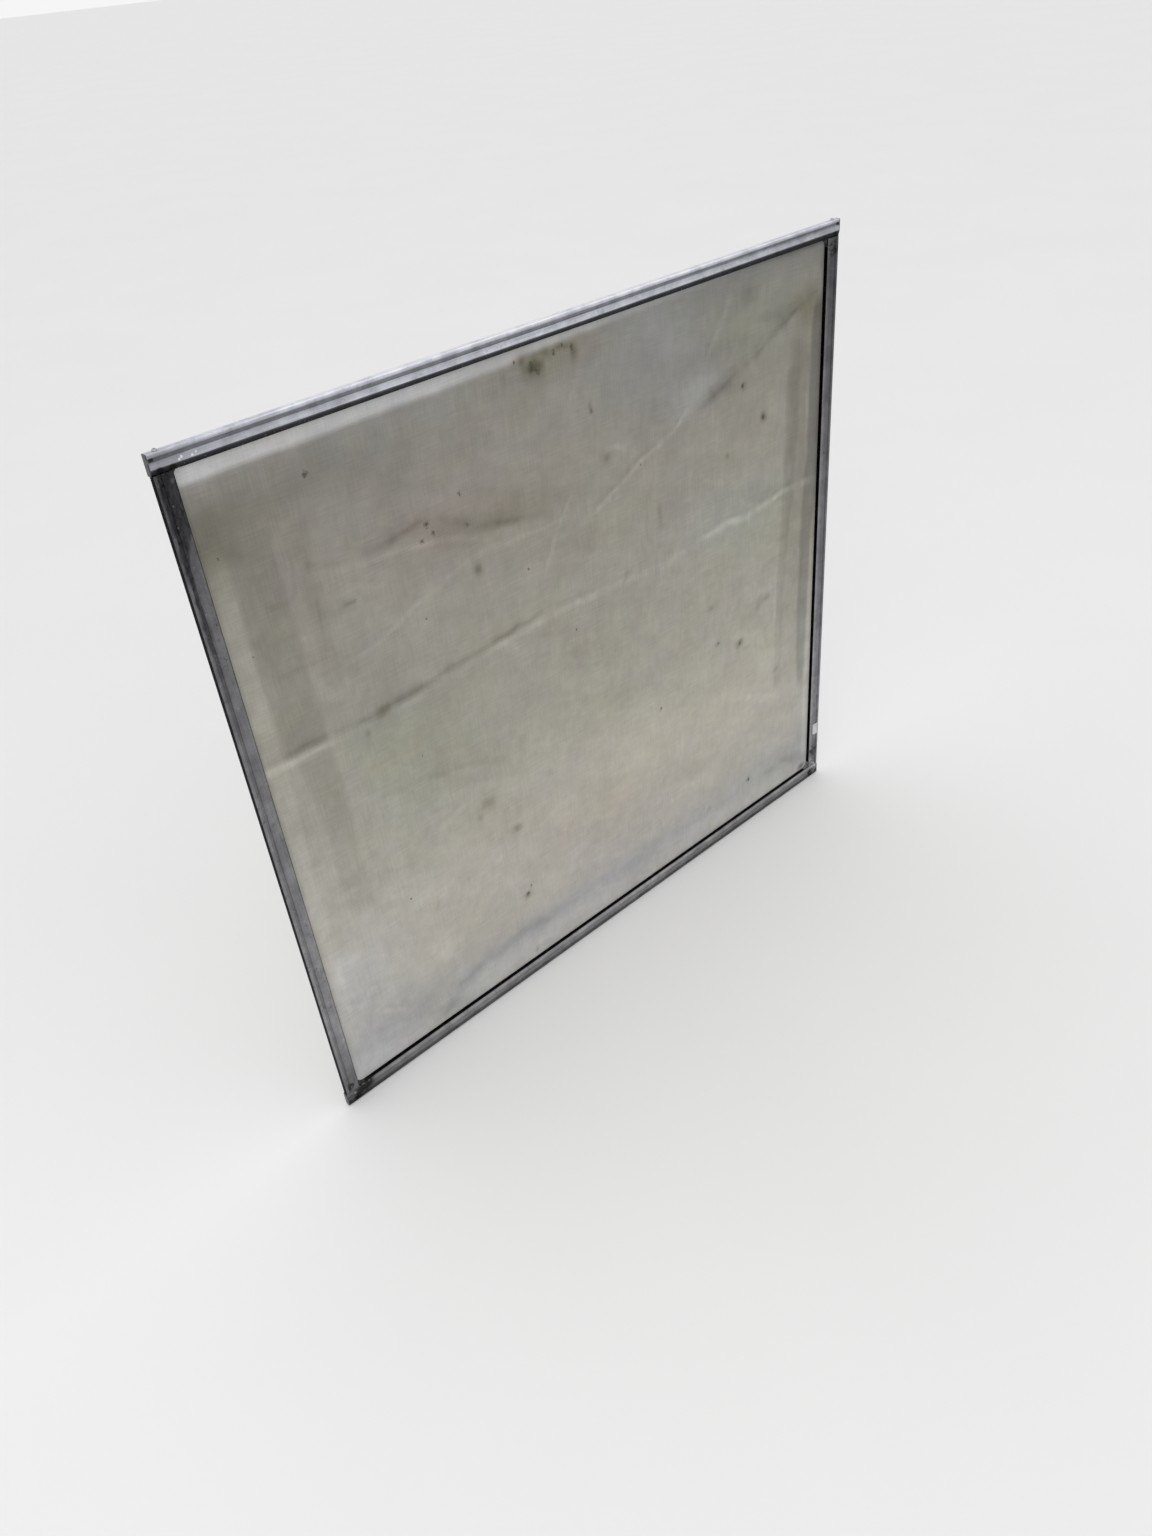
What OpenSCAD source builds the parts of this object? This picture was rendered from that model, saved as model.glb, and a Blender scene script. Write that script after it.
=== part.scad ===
// Screen printing frame: four slim extruded aluminium rails, butt-jointed and screwed at the corners,
// with a screen mesh stretched across the back and glued to the rails.
//
// It stands upright. X runs across the frame, Y from the squeegee side (-Y) to the print side (+Y),
// and Z up. The origin is at the middle of the base, under the two lower screw heads.
//
// Everything is laid out flat first, squeegee side up, and upright() then stands it up. A rail's
// section is drawn in two directions: u inwards from the rail's outer wall, and v forwards from its
// back face.

/* [Frame] */
// Overall width, over the end plugs
frame_w = 1140; // [600:10:1600]
// Height over the top and bottom rails
frame_h = 1040; // [500:10:1500]

/* [Rail section] */
// Width of a rail's face
rail_w = 24; // [20:0.5:40]
// Depth of a rail, front to back
rail_d = 8; // [7:0.5:20]
// Wall of the hollow extrusion
rail_t = 1.3; // [1:0.1:1.6]
// Height of the inner wall, from the back face up to the bevel
inner_wall_h = 6.2; // [5:0.1:8]
// Width of the bevel that slopes down to the opening
bevel_w = 6.9; // [6:0.1:10]
// Width of the flat lip along the outer edge
lip_w = 5; // [4:0.1:6]
// Width of the groove beside the lip
groove_w = 4.3; // [4:0.1:5.2]
// Depth of the groove
groove_d = 1.2; // [1:0.1:1.5]
// Radius of the section's small edges
edge_r = 0.4; // [0.2:0.05:0.45]

/* [Corner keys] */
// Length of the block inside each side rail's end
key_len = 32; // [28:1:60]
// Clearance of a key or a plug inside the rail
core_gap = 0.15; // [0.1:0.05:0.3]

/* [Tie screws] */
// Shank diameter
screw_d = 2.9; // [2.2:0.1:3.5]
// Head diameter
screw_head_d = 5.6; // [4.4:0.1:6.6]
// Head height
screw_head_h = 2.2; // [1.6:0.1:3]
// Length of thread that reaches into the key
screw_reach = 20; // [12:1:26]
// Radial clearance in the drilled rail
screw_gap = 0.15; // [0.05:0.05:0.3]
// Radial clearance of the thread in its key
thread_gap = 0.03; // [0.02:0.01:0.1]
// Width of the cross recess in the head
recess_w = 0.9; // [0.7:0.1:1.2]
// Span of the cross recess
recess_span = 3.3; // [2.6:0.1:4]
// Depth of the cross recess
recess_d = 1.1; // [0.8:0.1:1.6]

/* [Rivets] */
// Head diameter, less than the groove's width
rivet_head_d = 3.8; // [3:0.1:3.9]
// Head height, less than the groove's depth
rivet_head_h = 0.9; // [0.5:0.1:0.95]
// Shank diameter
rivet_d = 2.4; // [1.6:0.1:2.6]
// Length of shank below the rail's wall
rivet_reach = 2.6; // [2:0.1:3]
// Radial clearance of the shank
rivet_gap = 0.05; // [0.03:0.01:0.1]
// Distance of a key's rivet from the corner joint
key_rivet_inset = 5.5; // [3:0.5:12]
// Distance of a plug's rivet from the rail's end
plug_rivet_inset = 3; // [2.5:0.1:4.5]

/* [End plugs] */
// Thickness of the flange that closes a rail's end
plug_flange = 1.5; // [1:0.1:3]
// Length of the plug inside the rail
plug_len = 7; // [6:0.5:8]

/* [Mesh] */
// Thickness of the stretched mesh
mesh_t = 0.3; // [0.2:0.05:0.5]
// Thickness of the glue between rail and mesh
glue_t = 0.2; // [0.1:0.05:0.4]
// Distance of the glue line from the rail's inner edge
glue_edge = 4; // [2:0.5:8]
// Distance of the trimmed mesh from the rails' outer edge
mesh_margin = 3; // [1:0.5:5]

/* [Corner sealant] */
// Radius of the fillet in each inner corner
sealant_r = 12; // [8:0.5:16]
// Height of the fillet above the rails' back
sealant_h = 5.5; // [2:0.5:5.5]
// Thickness at the fillet's thin ends
sealant_tip = 0.4; // [0.2:0.1:0.8]

/* [Label] */
// Bare strip of the rail's flat front left outside the blank label
label_outer = 2.5; // [0.5:0.5:4]
// Bare strip left between the label and the bevel
label_inner = 0.5; // [0.5:0.5:4]
// Height of the label
label_h = 25; // [15:1:60]
// Height of the label's middle above the frame's lower edge
label_z = 110; // [60:5:400]
// Size of its torn corner
label_clip = 4; // [2:0.5:6]
// Thickness of the label
label_t = 0.15; // [0.1:0.05:0.3]

/* [Hidden] */
$fn = 48;

// How far a cutter passes the faces it cuts
over = 1;
// Segments in a small rounded edge, and in the crown of a screw's head
edge_steps = 3;
crown_steps = 6;
// Rounding of a screw's head as a share of its height, and its point as a share of the shank's radius
screw_crown = 0.6;
screw_point = 0.6;

// Half sizes of the rails' outer rectangle and of the opening inside it
outer_x = frame_w / 2 - plug_flange;
outer_y = frame_h / 2;
inner_x = outer_x - rail_w;
inner_y = outer_y - rail_w;

// The section: where the groove ends, where the bevel starts, and the bevel's slope
groove_end = lip_w + groove_w;
groove_floor = rail_d - groove_d;
flat_end = rail_w - bevel_w;
bevel_drop = rail_d - inner_wall_h;
bevel_a = atan(bevel_drop / bevel_w);

// Middle of the groove, where the rivets sit
groove_mid = lip_w + groove_w / 2;
// Highest point of what fits inside a rail, under the groove
core_inset = rail_t + core_gap;
core_top = groove_floor - core_inset;

// Tie screws run across the horizontal rails into the middle of the side rails' keys
screw_v = (core_inset + core_top) / 2;
tie_x = outer_x - rail_w / 2;
screw_len = rail_w + screw_reach;

// Width of the glue line on a rail's back
glue_w = rail_w - mesh_margin - glue_edge;

// Standing height of the flat layout's centre, and its shift that centres the depth on Y
back_v = -(glue_t + mesh_t);
stand_z = outer_y + screw_head_h;
stand_y = (rail_d + label_t + back_v) / 2;

// Points of an arc of radius r that rounds the corner b between a and c
function unit(v) = v / norm(v);
function corner_arc(a, b, c, r, n = edge_steps) =
    let (
        p = unit(a - b),
        q = unit(c - b),
        half = acos(p * q) / 2,
        mid = b + unit(p + q) * r / sin(half),
        start = b + p * r / tan(half) - mid,
        end = b + q * r / tan(half) - mid
    )
    [for (k = [0:n]) mid + r * unit(start + (end - start) * k / n)];

function round_all(pts, r) =
    let (n = len(pts))
    [for (i = [0:n - 1]) each corner_arc(pts[(i + n - 1) % n], pts[i], pts[(i + 1) % n], r)];

// The bevel's inner side at an inset d: its height at the inner wall, and its u at a height v
function bevel_foot(d) = inner_wall_h - d * (1 - sin(bevel_a)) / cos(bevel_a);
function bevel_u(d, v) = rail_w - (d + (v - inner_wall_h) * cos(bevel_a)) / sin(bevel_a);

// Outside of the rail
outer_section = [
    [0, 0],
    [rail_w, 0],
    [rail_w, inner_wall_h],
    [flat_end, rail_d],
    [groove_end, rail_d],
    [groove_end, groove_floor],
    [lip_w, groove_floor],
    [lip_w, rail_d],
    [0, rail_d]
];

// Hollow inside the rail, one wall in from the outside
hollow_section = [
    [rail_t, rail_t],
    [rail_w - rail_t, rail_t],
    [rail_w - rail_t, bevel_foot(rail_t)],
    [bevel_u(rail_t, rail_d - rail_t), rail_d - rail_t],
    [groove_end + rail_t, rail_d - rail_t],
    [groove_end + rail_t, groove_floor - rail_t],
    [lip_w - rail_t, groove_floor - rail_t],
    [lip_w - rail_t, rail_d - rail_t],
    [rail_t, rail_d - rail_t]
];

// What fills the hollow under the groove: a corner key or a plug's body
core_section = [
    [core_inset, core_inset],
    [rail_w - core_inset, core_inset],
    [rail_w - core_inset, bevel_foot(core_inset)],
    [bevel_u(core_inset, core_top), core_top],
    [core_inset, core_top]
];

// Cover of the rail's end
flange_section = [
    [0, 0],
    [rail_w, 0],
    [rail_w, inner_wall_h],
    [flat_end, rail_d],
    [0, rail_d]
];

// Outline of the label: it bridges the groove, and its lower inner corner is torn off
label_far = flat_end - label_inner;
label_outline = [
    [0, label_outer],
    [label_h, label_outer],
    [label_h, label_far],
    [label_clip, label_far],
    [0, label_far - label_clip]
];

// Places

// Stands the flat layout up, squeegee side to -Y
module upright() {
    translate([0, stand_y, stand_z]) rotate([90, 0, 0]) children();
}

// One side of the layout: 0 bottom, 1 right, 2 top, 3 left. X runs along the side and Y inwards.
module side(i) {
    rotate([0, 0, 90 * i]) translate([0, i % 2 == 0 ? -outer_y : -outer_x, 0]) children();
}

// One corner, from what is drawn at the top right: sx and sy are 1 or -1
module corner(sx, sy) {
    mirror([sx < 0 ? 1 : 0, 0, 0]) mirror([0, sy < 0 ? 1 : 0, 0]) children();
}

module all_corners() {
    for (sx = [-1, 1], sy = [-1, 1]) corner(sx, sy) children();
}

// Extrudes a section along X from x = 0, with u along Y
module along_x(length) {
    rotate([90, 0, 90]) linear_extrude(length) children();
}

// Rails

module rail_bar(length) {
    translate([-length / 2, 0, 0]) along_x(length) difference() {
        polygon(round_all(outer_section, edge_r));
        polygon(hollow_section);
    }
}

module rivet_holes(half_length, inset) {
    for (s = [-1, 1])
        translate([s * (half_length - inset), groove_mid, groove_floor - rail_t - over])
            cylinder(h = rail_t + 2 * over, d = rivet_d + 2 * rivet_gap);
}

module tie_holes() {
    for (s = [-1, 1])
        translate([s * tie_x, -over, screw_v]) rotate([-90, 0, 0])
            cylinder(h = rail_w + 2 * over, d = screw_d + 2 * screw_gap);
}

// Top and bottom rails run the full width
module long_rail(i) {
    upright() side(i) difference() {
        rail_bar(2 * outer_x);
        tie_holes();
        rivet_holes(outer_x, plug_rivet_inset);
    }
}

// Side rails fit between them
module short_rail(i) {
    upright() side(i) difference() {
        rail_bar(2 * inner_y);
        rivet_holes(inner_y, key_rivet_inset);
    }
}

module top_rail() { color("#a3a5ae") long_rail(2); }
module bottom_rail() { color("#8b8c92") long_rail(0); }
module left_rail() { color("#77777c") short_rail(3); }
module right_rail() { color("#6f6f74") short_rail(1); }

// Corner joints

// Where a rivet's shank enters the core, in the side rail's end and in the horizontal rail's end
key_rivet_at = [outer_x - groove_mid, inner_y - key_rivet_inset, groove_floor];
plug_rivet_at = [outer_x - plug_rivet_inset, outer_y - groove_mid, groove_floor];

module rivet_socket() {
    translate([0, 0, -rail_t - core_gap - rivet_reach - rivet_gap])
        cylinder(h = rivet_reach + core_gap + over, d = rivet_d + 2 * rivet_gap);
}

// Block that fills the side rail's end and takes the tie screw's thread
module corner_key() {
    color("#8f9094") difference() {
        translate([outer_x, inner_y, 0]) rotate([90, 0, 0]) linear_extrude(key_len)
            mirror([1, 0]) polygon(core_section);
        translate([tie_x, inner_y + over, screw_v]) rotate([90, 0, 0])
            cylinder(h = key_len + 2 * over, d = screw_d + 2 * thread_gap);
        translate(key_rivet_at) rivet_socket();
    }
}

module corner_key_tl() { upright() corner(-1, 1) corner_key(); }
module corner_key_tr() { upright() corner(1, 1) corner_key(); }
module corner_key_bl() { upright() corner(-1, -1) corner_key(); }
module corner_key_br() { upright() corner(1, -1) corner_key(); }

// Pan-head screw: the head's seat is at z = 0 and the shank runs up
module pan_screw() {
    head_r = screw_head_d / 2;
    shank_r = screw_d / 2;
    crown_r = screw_crown * screw_head_h;
    point = screw_point * shank_r;
    difference() {
        rotate_extrude() polygon(concat(
            [[0, -screw_head_h]],
            corner_arc([0, -screw_head_h], [head_r, -screw_head_h], [head_r, 0], crown_r, crown_steps),
            [
                [head_r, 0],
                [shank_r, 0],
                [shank_r, screw_len - point],
                [shank_r - point, screw_len],
                [0, screw_len]
            ]
        ));
        for (a = [0, 90])
            rotate([0, 0, a]) translate([-recess_span / 2, -recess_w / 2, -screw_head_h - over])
                cube([recess_span, recess_w, recess_d + over]);
    }
}

module tie_screws() {
    color("#c0c0c2") upright() all_corners()
        translate([tie_x, outer_y, screw_v]) rotate([90, 0, 0]) pan_screw();
}

// Blind rivet: domed head on the groove's floor at z = 0, shank downwards
module rivet() {
    rise = (pow(rivet_head_d / 2, 2) - pow(rivet_head_h, 2)) / (2 * rivet_head_h);
    intersection() {
        translate([0, 0, -rise]) sphere(r = rise + rivet_head_h);
        cylinder(h = rivet_head_h + over, d = rivet_head_d);
    }
    translate([0, 0, -rail_t - rivet_reach]) cylinder(h = rail_t + rivet_reach, d = rivet_d);
}

module key_rivets() {
    color("#55565a") upright() all_corners() translate(key_rivet_at) rivet();
}

module plug_rivets() {
    color("#3a3b3e") upright() all_corners() translate(plug_rivet_at) rivet();
}

// Moulded plug in the open end of a horizontal rail
module end_plug() {
    color("#55565a") {
        translate([outer_x, outer_y, 0]) along_x(plug_flange)
            mirror([1, 0]) polygon(round_all(flange_section, edge_r));
        difference() {
            translate([outer_x - plug_len, outer_y, 0]) along_x(plug_len)
                mirror([1, 0]) polygon(core_section);
            translate(plug_rivet_at) rivet_socket();
        }
    }
}

module end_plug_tl() { upright() corner(-1, 1) end_plug(); }
module end_plug_tr() { upright() corner(1, 1) end_plug(); }
module end_plug_bl() { upright() corner(-1, -1) end_plug(); }
module end_plug_br() { upright() corner(1, -1) end_plug(); }

// Mesh and what holds it

// Strip of glue on a rail's back, as long as it is given
module glue_strip(i, length) {
    color("#b9b29a") upright() side(i)
        translate([-length / 2, mesh_margin, -glue_t]) cube([length, glue_w, glue_t]);
}

module glue_line_top() { glue_strip(2, 2 * (outer_x - mesh_margin)); }
module glue_line_bottom() { glue_strip(0, 2 * (outer_x - mesh_margin)); }
module glue_line_left() { glue_strip(3, 2 * (outer_y - mesh_margin - glue_w)); }
module glue_line_right() { glue_strip(1, 2 * (outer_y - mesh_margin - glue_w)); }

module screen_mesh() {
    mesh_x = outer_x - mesh_margin;
    mesh_y = outer_y - mesh_margin;
    color("#a6a59c") upright() translate([-mesh_x, -mesh_y, back_v])
        cube([2 * mesh_x, 2 * mesh_y, mesh_t]);
}

// Fillet of sealant between two rails and the mesh
module corner_sealant() {
    color("#2c2c2e") translate([inner_x - sealant_r, inner_y - sealant_r, -glue_t])
        linear_extrude(sealant_h + glue_t) difference() {
            square(sealant_r);
            circle(r = sealant_r - sealant_tip);
        }
}

module corner_sealant_tl() { upright() corner(-1, 1) corner_sealant(); }
module corner_sealant_tr() { upright() corner(1, 1) corner_sealant(); }
module corner_sealant_bl() { upright() corner(-1, -1) corner_sealant(); }
module corner_sealant_br() { upright() corner(1, -1) corner_sealant(); }

// Blank label low on the right rail, over the groove
module blank_label() {
    color("#dcd9d6") upright() side(1) translate([label_z - outer_y - label_h / 2, 0, rail_d])
        linear_extrude(label_t) polygon(label_outline);
}

top_rail();
bottom_rail();
left_rail();
right_rail();
corner_key_tl();
corner_key_tr();
corner_key_bl();
corner_key_br();
tie_screws();
key_rivets();
plug_rivets();
end_plug_tl();
end_plug_tr();
end_plug_bl();
end_plug_br();
glue_line_top();
glue_line_bottom();
glue_line_left();
glue_line_right();
screen_mesh();
corner_sealant_tl();
corner_sealant_tr();
corner_sealant_bl();
corner_sealant_br();
blank_label();
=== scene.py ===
"""Screen printing frame: a used aluminium frame with its mesh, standing on a pale studio floor.

Metres, in the CAD frame: X across, Y towards the print side, Z up. A rail's section is described by
u, inwards from its outer wall. The mesh is painted in millimetres from the middle of the frame.
"""
import math

import bpy
import numpy as np
from mathutils import Euler, Matrix, Vector


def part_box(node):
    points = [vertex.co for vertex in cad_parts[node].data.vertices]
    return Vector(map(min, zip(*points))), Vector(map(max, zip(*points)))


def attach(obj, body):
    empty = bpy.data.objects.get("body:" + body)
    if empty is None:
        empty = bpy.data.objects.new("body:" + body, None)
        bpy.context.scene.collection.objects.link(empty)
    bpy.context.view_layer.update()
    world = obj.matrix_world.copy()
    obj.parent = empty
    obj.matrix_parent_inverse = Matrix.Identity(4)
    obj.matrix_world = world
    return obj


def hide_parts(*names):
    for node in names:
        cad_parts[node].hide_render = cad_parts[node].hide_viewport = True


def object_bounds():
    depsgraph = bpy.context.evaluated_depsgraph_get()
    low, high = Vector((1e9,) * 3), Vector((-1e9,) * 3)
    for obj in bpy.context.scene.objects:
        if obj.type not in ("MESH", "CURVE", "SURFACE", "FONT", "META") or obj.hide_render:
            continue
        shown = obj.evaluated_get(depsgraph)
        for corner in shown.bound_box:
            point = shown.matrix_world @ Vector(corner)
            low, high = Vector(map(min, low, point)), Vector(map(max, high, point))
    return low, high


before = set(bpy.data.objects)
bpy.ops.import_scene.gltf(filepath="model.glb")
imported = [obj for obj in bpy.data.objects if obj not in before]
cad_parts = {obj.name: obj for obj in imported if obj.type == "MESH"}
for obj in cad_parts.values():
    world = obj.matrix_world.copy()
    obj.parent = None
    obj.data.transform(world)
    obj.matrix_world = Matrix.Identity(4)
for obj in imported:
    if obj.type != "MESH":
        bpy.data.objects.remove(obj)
cad_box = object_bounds()

MM = 0.001

# ---------------------------------------------------------------- places, from the CAD frame

TOP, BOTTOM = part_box("top_rail"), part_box("bottom_rail")
LEFT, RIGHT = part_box("left_rail"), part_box("right_rail")
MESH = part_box("screen_mesh")
RAIL_W = LEFT[1].x - LEFT[0].x
OPEN_LOW = Vector((LEFT[1].x, 0.0, BOTTOM[1].z))
OPEN_HIGH = Vector((RIGHT[0].x, 0.0, TOP[0].z))
MIDDLE = (OPEN_LOW + OPEN_HIGH) / 2
MESH_Y = (MESH[0].y + MESH[1].y) / 2
FRONT_Y = TOP[0].y
FLOOR_Z = cad_box[0].z
CORNERS = ("tl", "tr", "bl", "br")


# ---------------------------------------------------------------- colour and node helpers

def linear(*tone):
    """Linear colour of a display colour given from 0 to 255; one number gives a grey."""
    tone = tone * 3 if len(tone) == 1 else tone
    return tuple(((t / 255 + 0.055) / 1.055) ** 2.4 if t > 10 else t / 255 / 12.92 for t in tone)


def opaque(colour):
    return (*colour, 1.0)


def place_object(name, data):
    """Adds data to the scene as an object called name."""
    thing = bpy.data.objects.new(name, data)
    bpy.context.scene.collection.objects.link(thing)
    return thing


# The mix node has one set of sockets for each kind of data; these are its colour sockets
COLOUR_MIX = {"factor": 0, "a": 6, "b": 7, "result": 2}


class Shader:
    """A material and short ways to add nodes to it. An input may be a socket or a plain value."""

    def __init__(self, name, roughness=0.5, metallic=0.0, **plain):
        self.material = bpy.data.materials.new(name)
        self.material.use_nodes = True
        self.tree = self.material.node_tree
        self.base = self.tree.nodes["Principled BSDF"]
        self.base.inputs["Roughness"].default_value = roughness
        self.base.inputs["Metallic"].default_value = metallic
        for socket, value in plain.items():
            self.base.inputs[socket.replace("_", " ")].default_value = value
        self.place = self.add("ShaderNodeTexCoord").outputs["Object"]
        self.x, self.y, self.z = self.add("ShaderNodeSeparateXYZ", {0: self.place}).outputs

    def add(self, kind, inputs=None, **settings):
        """Adds a node with these settings and inputs."""
        node = self.tree.nodes.new(kind)
        for key, value in settings.items():
            setattr(node, key, value)
        for key, value in (inputs or {}).items():
            if isinstance(value, bpy.types.NodeSocket):
                self.tree.links.new(value, node.inputs[key])
            else:
                node.inputs[key].default_value = value
        return node

    def math(self, operation, a, b=0.0, clamp=False):
        return self.add("ShaderNodeMath", {0: a, 1: b}, operation=operation, use_clamp=clamp).outputs[0]

    def fade(self, value, low, high, start=0.0, end=1.0):
        """start where value is under low, end where it is over high, and smooth between."""
        inputs = {"Value": value, "From Min": low, "From Max": high, "To Min": start, "To Max": end}
        node = self.add("ShaderNodeMapRange", inputs, interpolation_type="SMOOTHSTEP")
        return node.outputs["Result"]

    def fade_line(self, value, low, high):
        """0 where value is low, 1 where it is high, and a straight line between."""
        inputs = {"Value": value, "From Min": low, "From Max": high}
        return self.add("ShaderNodeMapRange", inputs).outputs["Result"]

    def noise(self, size, detail=4.0, roughness=0.55, low=0.0, high=1.0, shift=0.0):
        """Noise whose grain is size metres, given as one number or along x, y and z."""
        size = (size,) * 3 if isinstance(size, float) else size
        scaled = self.add(
            "ShaderNodeMapping",
            {"Vector": self.place, "Location": (shift,) * 3, "Scale": tuple(1 / s for s in size)},
        ).outputs[0]
        inputs = {"Vector": scaled, "Scale": 1.0, "Detail": detail, "Roughness": roughness}
        value = self.add("ShaderNodeTexNoise", inputs).outputs["Fac"]
        return self.fade(value, low, high) if (low, high) != (0.0, 1.0) else value

    def spot(self, centre, radius, soft=0.6):
        """1 at a point of the surface, fading to 0 at radius."""
        far = self.add("ShaderNodeVectorMath", {0: self.place, 1: centre}, operation="DISTANCE")
        return self.fade(far.outputs["Value"], radius * soft, radius, 1.0, 0.0)

    def ramp(self, value, stops):
        """Colours along value: stops are (position, colour)."""
        node = self.add("ShaderNodeValToRGB", {"Fac": value})
        marks = node.color_ramp.elements
        while len(marks) < len(stops):
            marks.new(1.0)
        for mark, (position, colour) in zip(marks, stops):
            mark.position = position
            mark.color = opaque(colour)
        return node.outputs["Color"]

    def mix(self, factor, a, b, blend="MIX"):
        """Colour a where factor is 0, and b, or a blended with b, where it is 1."""
        first, second = (opaque(c) if isinstance(c, tuple) else c for c in (a, b))
        inputs = {COLOUR_MIX["factor"]: factor, COLOUR_MIX["a"]: first, COLOUR_MIX["b"]: second}
        node = self.add("ShaderNodeMix", inputs, data_type="RGBA", blend_type=blend)
        return node.outputs[COLOUR_MIX["result"]]

    def dim(self, colour, factor):
        """colour times a grey factor."""
        grey = self.add("ShaderNodeCombineColor", {0: factor, 1: factor, 2: factor}).outputs[0]
        return self.mix(1.0, colour, grey, "MULTIPLY")

    def bump(self, height, distance, strength=1.0, under=None):
        """A normal that follows height, distance metres high, on top of the normal under."""
        inputs = {"Height": height, "Distance": distance, "Strength": strength}
        if under is not None:
            inputs["Normal"] = under
        return self.add("ShaderNodeBump", inputs).outputs["Normal"]

    def finish(self, colour, roughness=None, normal=None):
        """Links the surface's colour, roughness and normal, and gives the material."""
        for socket, value in (("Base Color", colour), ("Roughness", roughness), ("Normal", normal)):
            if value is not None:
                self.tree.links.new(value, self.base.inputs[socket])
        return self.material


# ---------------------------------------------------------------- metals

# A rail's tones across its face, as (u in mm, display tone): outer wall, lip, groove, flat, bevel and
# inner wall. Light and shade are painted into them and differ from rail to rail. The near-black inner
# walls, the left rail's black outer wall and the top rail's dark groove and bevel are painted shade. The
# top rail's bright outer wall and the bright edges are painted highlights, and the bottom rail is painted
# lighter against the floor's shade.
TOP_TONES = [
    (0.0, 250), (0.4, 252), (1.4, 222), (2.4, 202), (4.5, 176), (5.1, 150), (5.6, 124), (8.6, 124),
    (9.5, 176), (13.0, 188), (16.6, 196), (17.3, 104), (19.0, 58), (23.2, 44), (23.9, 12),
]
BOTTOM_TONES = [
    (0.0, 40), (0.4, 92), (4.5, 96), (5.1, 112), (5.6, 132), (8.6, 142), (9.5, 146),
    (15.0, 138), (17.2, 150), (20.0, 172), (22.6, 152), (23.4, 96), (23.9, 8),
]
LEFT_TONES = [
    (0.0, 8), (0.35, 60), (0.8, 128), (4.6, 132), (5.6, 118), (8.6, 112), (9.5, 120),
    (13.0, 126), (17.2, 130), (20.0, 134), (22.6, 134), (23.2, 96), (23.95, 26),
]
RIGHT_TONES = [
    (0.0, 60), (0.4, 122), (4.5, 118), (5.6, 116), (8.6, 114), (9.5, 116),
    (15.0, 117), (18.0, 120), (21.0, 134), (22.8, 142), (23.5, 80), (23.9, 4),
]

# How bright a rail is along its length, as (mm from the frame's middle, factor)
TOP_RUN = [(-570, 0.84), (-500, 0.90), (-380, 0.98), (0, 1.06), (300, 1.0), (500, 0.96), (570, 0.9)]
BOTTOM_RUN = [(-570, 0.62), (-520, 0.76), (-485, 0.92), (-430, 0.95), (-250, 0.96), (150, 1.02),
              (380, 0.9), (500, 1.02), (570, 0.9)]
LEFT_RUN = [(-520, 0.8), (-470, 0.93), (-380, 1.17), (-200, 1.1), (0, 1.0), (200, 0.90), (350, 0.80),
            (430, 0.66), (500, 0.62)]
RIGHT_RUN = [(-520, 0.95), (-470, 1.1), (-350, 1.2), (-200, 1.1), (0, 1.0), (200, 0.95), (400, 0.75),
             (500, 0.72)]

# How far in mm the top rail's lines have bent towards the opening, as the mesh pulls it
TOP_BEND = [(-570, 0.1), (-400, 0.3), (-200, 0.6), (0, 0.9), (200, 0.0), (400, -0.7), (570, -1.0)]


def inky_end(s, colour, u, down):
    """Ink wiped down a rail. It covers the rail at first, then only the groove. down is the distance
    from the corner."""
    ragged = s.math("MULTIPLY", s.noise((0.005, 0.01, 0.022), detail=7.0, roughness=0.7), 0.5)
    across = s.math("ADD", u, s.math("SUBTRACT", ragged, 0.25))
    whole_rail, to_the_flat = 1.25, 0.43
    limit = s.fade(down, 0.040, 0.115, whole_rail, to_the_flat)
    inner = s.fade(s.math("SUBTRACT", across, limit), -0.12, 0.10, 1.0, 0.0)
    outer = s.fade(across, 0.10, 0.22)
    strong = s.fade(down, 0.130, 0.340, 1.0, 0.0)
    covered = s.math("MULTIPLY", s.math("MULTIPLY", inner, outer), strong)
    thin = s.noise((0.003, 0.01, 0.009), detail=6.0, roughness=0.7, low=0.30, high=0.62, shift=4.0)
    covered = s.math("MULTIPLY", covered, s.math("SUBTRACT", 0.97, s.math("MULTIPLY", thin, 0.42)))
    return s.mix(covered, colour, linear(27, 25, 31))


def ramp_along(s, along, points):
    """A grey that changes down a rail: points are (mm from the frame's middle, grey)."""
    first, last = points[0][0], points[-1][0]
    middle = getattr(MIDDLE, along)
    place = s.fade_line(getattr(s, along), middle + first * MM, middle + last * MM)
    return s.ramp(place, [((mm - first) / (last - first), (grey,) * 3) for mm, grey in points])


def bend_lines(s, u, along, bend):
    """u moved so that the lines inside a rail's face follow bend, while its edges stay straight."""
    most = 2.0                       # mm; a grey of 0 to 1 stands for a bend of -most to most
    pull = ramp_along(s, along, [(mm, 0.5 + b / (2 * most)) for mm, b in bend])
    pull = s.math("MULTIPLY", s.math("SUBTRACT", pull, 0.5), 2 * most * MM / RAIL_W)
    inside = s.math("MULTIPLY", s.fade(u, 0.1, 0.3), s.fade(u, 0.85, 0.98, 1.0, 0.0))
    return s.math("SUBTRACT", u, s.math("MULTIPLY", pull, inside), clamp=True)


def add_marks(s, colour, marks):
    """Ragged single stains and dings: (place, radius, tone, how solid)."""
    for place, radius, tone, solid in marks:
        cut = 0.52 - 0.3 * solid
        ragged = s.noise(radius / 2.5, detail=5.0, low=cut - 0.06, high=cut + 0.04)
        ragged = s.math("MULTIPLY", s.spot(place, radius, 0.5), ragged)
        colour = s.mix(s.math("MULTIPLY", ragged, 0.94), colour, linear(tone))
    return colour


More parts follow.
